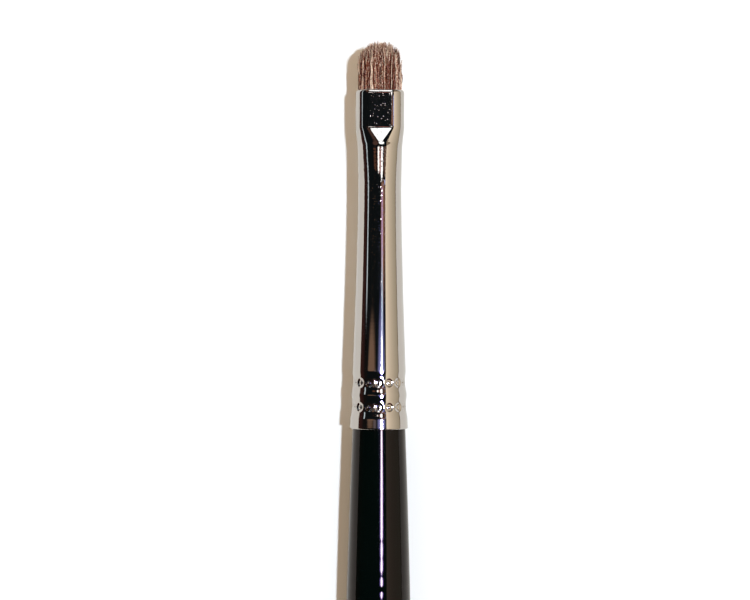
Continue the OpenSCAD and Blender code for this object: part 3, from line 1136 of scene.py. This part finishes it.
def add_patch(tree, place, below, centre, half, light, edge, turn=0.0):
    """Adds a soft-edged oval patch of light to what lies below it. Its centre and half size
    are in millimetres, its light is linear, its edge is the share of its half size over
    which it fades out, and its turn is in degrees."""
    centred = add_node(
        tree, "ShaderNodeMapping",
        {
            "Vector": place,
            "Location": (centre[0] * MM, centre[1] * MM, CARD_Z * MM),
            "Rotation": (0, 0, math.radians(turn)),
            "Scale": (half[0] * MM, half[1] * MM, CARD_Z * MM),
        },
        vector_type="TEXTURE",
    )
    inward = add_node(
        tree, "ShaderNodeTexGradient",
        {"Vector": centred.outputs["Vector"]}, gradient_type="SPHERICAL",
    )
    share = add_node(
        tree, "ShaderNodeMapRange",
        {"Value": inward.outputs["Fac"], "From Min": 0.0, "From Max": edge},
        interpolation_type="SMOOTHSTEP",
    )
    glow = add_node(
        tree, "ShaderNodeEmission",
        {"Color": (*light, 1.0), "Strength": share.outputs["Result"]},
    )
    return add_node(tree, "ShaderNodeAddShader", {0: below, 1: glow.outputs[0]}).outputs[0]


# What lights the ceiling: the centre, half size, light, edge and turn of each patch
CEILING_LIGHTS = (
    # The lamp, its violet fringe, its tinted far end and its haze
    ((60, 12), (20, 47), (60, 60, 60), 0.12),
    ((60, 1), (44, 45), (6.5, 5.4, 19), 0.4),
    ((70, 68), (24, 13), (0.8, 1.05, 1.25), 0.8),
    ((70, 81), (28, 11), (0.6, 0.42, 0.85), 0.8),
    ((55, 42), (105, 32), (0.42, 0.42, 0.95), 0.7),
    # Warm corners
    ((92, 88), (75, 26), (0.36, 0.17, 0.11), 0.5),
    ((-225, 50), (166, 19), (0.25, 0.142, 0.09), 0.5),
    ((-90, 38), (50, 12), (0.16, 0.12, 0.13), 0.8),
    ((-125, 147), (55, 8), (0.17, 0.06, 0.03), 0.6, -5),
    ((140, 145), (48, 26), (0.16, 0.08, 0.055), 0.3),
    ((-110, 300), (95, 120), (0.10, 0.045, 0.03), 0.5),
    # Windows, and a blue line beside them
    ((-30, 145), (24, 17), (2.4, 2.1, 2.0), 0.4),
    ((52, 135), (30, 30), (2.4, 2.3, 2.3), 0.3),
    ((8, 143), (20, 17), (0.6, 0.22, 0.18), 0.4),
    ((42, 302), (68, 48), (2.2, 2.2, 2.2), 0.1),
    ((150, 106), (18, 8), (0.9, 1.0, 1.7), 0.4),
)


def lit_ceiling():
    """What the top of the brush mirrors: the lamp with its violet fringe and blue haze, the
    warm corners of the room, and the windows that light the neck and the pressed faces."""
    material, tree = new_material("lit_ceiling")
    place = add_node(tree, "ShaderNodeTexCoord").outputs["Object"]
    dark = add_node(tree, "ShaderNodeEmission", {"Color": (*CEILING_DARK, 1.0), "Strength": 1.0})
    light = dark.outputs[0]
    for patch in CEILING_LIGHTS:
        light = add_patch(tree, place, light, *patch)
    set_surface(tree, light)
    return material


# The cards on the right, which reach from under the paper to above the ceiling
SIDE_X = 190
SIDE_LOW = -12
SIDE_TOP = 400
# The cards beyond the hair, which stand high, so that low views still see a dark handle
END_Y = 330
END_LOW = 120


def make_cards():
    """What stands round the brush, out of the camera's sight, and shows in the metal."""
    make_card("ceiling", (-420, -100, CARD_Z), (172, 345, CARD_Z + 1), lit_ceiling())
    beige = card_glow("beige_wall", (0.50, 0.42, 0.30), (1.45, 1.18, 0.89), "Z", 0, 360)
    make_card("beige_side", (SIDE_X, -95, SIDE_LOW), (SIDE_X + 1, 200, SIDE_TOP), beige)
    umber = card_glow("umber_wall", (0.10, 0.06, 0.04), (0.46, 0.33, 0.22), "Z", 0, 360)
    make_card("umber_side_far", (SIDE_X, 201, SIDE_LOW), (SIDE_X + 1, 420, SIDE_TOP), umber)
    maroon = card_glow("maroon_wall", (0.06, 0.02, 0.02), (0.20, 0.08, 0.07), "Z", 0, 360)
    make_card("maroon_side_near", (SIDE_X, -420, SIDE_LOW), (SIDE_X + 1, -96, SIDE_TOP), maroon)
    skirting = card_glow("red_brown_skirting", (0.06, 0.02, 0.015), (0.02, 0.01, 0.01), "Z", 8, 36)
    make_card("low_left", (-73, -420, 7), (-72, 520, 37), skirting)
    window = card_glow("tall_window", (0.0, 0.0, 0.0), (0.82, 0.95, 1.02), "Y", 58, 66)
    make_card("tall_window", (-272, 52, 130), (-260, 420, 152), window)
    white = plain_glow("white_end", (2.2, 2.2, 2.2))
    make_card("white_end", (-25, END_Y, END_LOW), (50, END_Y + 1, CARD_Z - 1), white)
    rust = plain_glow("rust_end", (0.22, 0.10, 0.06))
    make_card("rust_end", (-170, END_Y, END_LOW), (-25, END_Y + 1, CARD_Z - 1), rust)
    # A dark brown strip lies on the paper far to the right, where only reflections show it
    edge = plain_glow("dark_strip_right", (0.16, 0.08, 0.055))
    make_card("dark_strip_right", (100, -300, 0.3), (189, 500, 0.5), edge, FLOOR_PLACE)


# The lamp's strength, its colour, how wide it looks, and how far it leans aside and back
KEY_STRENGTH = 2.85
KEY_COLOUR = (0.77, 0.885, 1.0)
KEY_ANGLE_DEGREES = 2.4
KEY_TILT_DEGREES = 14.3
KEY_LEAN_Y = -0.01


def make_lamp():
    """One small, distant lamp, up to the right, which throws the shadow to the left."""
    data = bpy.data.lights.new("key_lamp", "SUN")
    data.energy = KEY_STRENGTH
    data.color = KEY_COLOUR
    data.angle = math.radians(KEY_ANGLE_DEGREES)
    lamp = bpy.data.objects.new("key_lamp", data)
    bpy.context.scene.collection.objects.link(lamp)
    towards = Vector((math.tan(math.radians(KEY_TILT_DEGREES)), KEY_LEAN_Y, 1.0))
    lamp.rotation_mode = "QUATERNION"
    lamp.rotation_quaternion = towards.to_track_quat("Z", "Y")
    lamp.visible_glossy = False


# The room's light on surfaces, and what mirrored rays find of the room above the paper
ROOM_COLOUR = (0.545, 0.42, 0.295)
ROOM_MIRRORED = (0.010, 0.008, 0.007)
PAPER_WHITE = (1.0, 1.0, 1.0)
# How high mirrored rays still meet the paper, from 0 on the horizon to 1 overhead
BACKDROP_TOP = 0.04


def make_world():
    """Warm light from the room on every surface. The camera sees white paper behind the
    brush, and mirrored rays see it too up to the height where the paper ends."""
    world = bpy.data.worlds.new("room")
    bpy.context.scene.world = world
    world.use_nodes = True
    tree = world.node_tree
    tree.nodes.clear()
    rays = add_node(tree, "ShaderNodeLightPath")
    direction = add_node(tree, "ShaderNodeTexCoord").outputs["Generated"]
    upward = add_node(tree, "ShaderNodeSeparateXYZ", {"Vector": direction})
    below_edge = add_node(
        tree, "ShaderNodeMath", {0: upward.outputs["Z"], 1: BACKDROP_TOP}, operation="LESS_THAN",
    )
    room, dark, white = [
        add_node(tree, "ShaderNodeBackground", {"Color": (*light, 1.0), "Strength": 1.0})
        for light in (ROOM_COLOUR, ROOM_MIRRORED, PAPER_WHITE)
    ]
    mirrored = add_node(
        tree, "ShaderNodeMixShader",
        {0: below_edge.outputs["Value"], 1: dark.outputs[0], 2: white.outputs[0]},
    )
    lit = add_node(
        tree, "ShaderNodeMixShader",
        {0: rays.outputs["Is Glossy Ray"], 1: room.outputs[0], 2: mirrored.outputs[0]},
    )
    seen = add_node(
        tree, "ShaderNodeMixShader",
        {0: rays.outputs["Is Camera Ray"], 1: lit.outputs[0], 2: white.outputs[0]},
    )
    add_node(tree, "ShaderNodeOutputWorld", {"Surface": seen.outputs[0]})


def make_camera():
    data = bpy.data.cameras.new("camera")
    data.sensor_width = SENSOR_WIDTH
    data.lens = LENS
    data.clip_start = 0.01
    camera = bpy.data.objects.new("camera", data)
    bpy.context.scene.collection.objects.link(camera)
    camera.location = (CAMERA_X * MM, CAMERA_Y * MM, (AXIS_Z + CAMERA_DISTANCE) * MM)
    camera.rotation_euler = (0, 0, math.radians(CAMERA_ROLL_DEGREES))
    bpy.context.scene.camera = camera


make_camera()
make_ferrule(nickel_plated_brass())
make_handle_coat(black_lacquer())
make_tuft(natural_hair())
dress_node("hair_roots", bound_hair())
dress_node("binding_thread", waxed_thread())
dress_node("root_resin", cast_resin())
dress_node("tenon_glue", wood_glue())
dress_node("wooden_handle", turned_birch())
make_floor()
make_cards()
make_lamp()
make_world()
bpy.context.scene.view_settings.view_transform = "Standard"
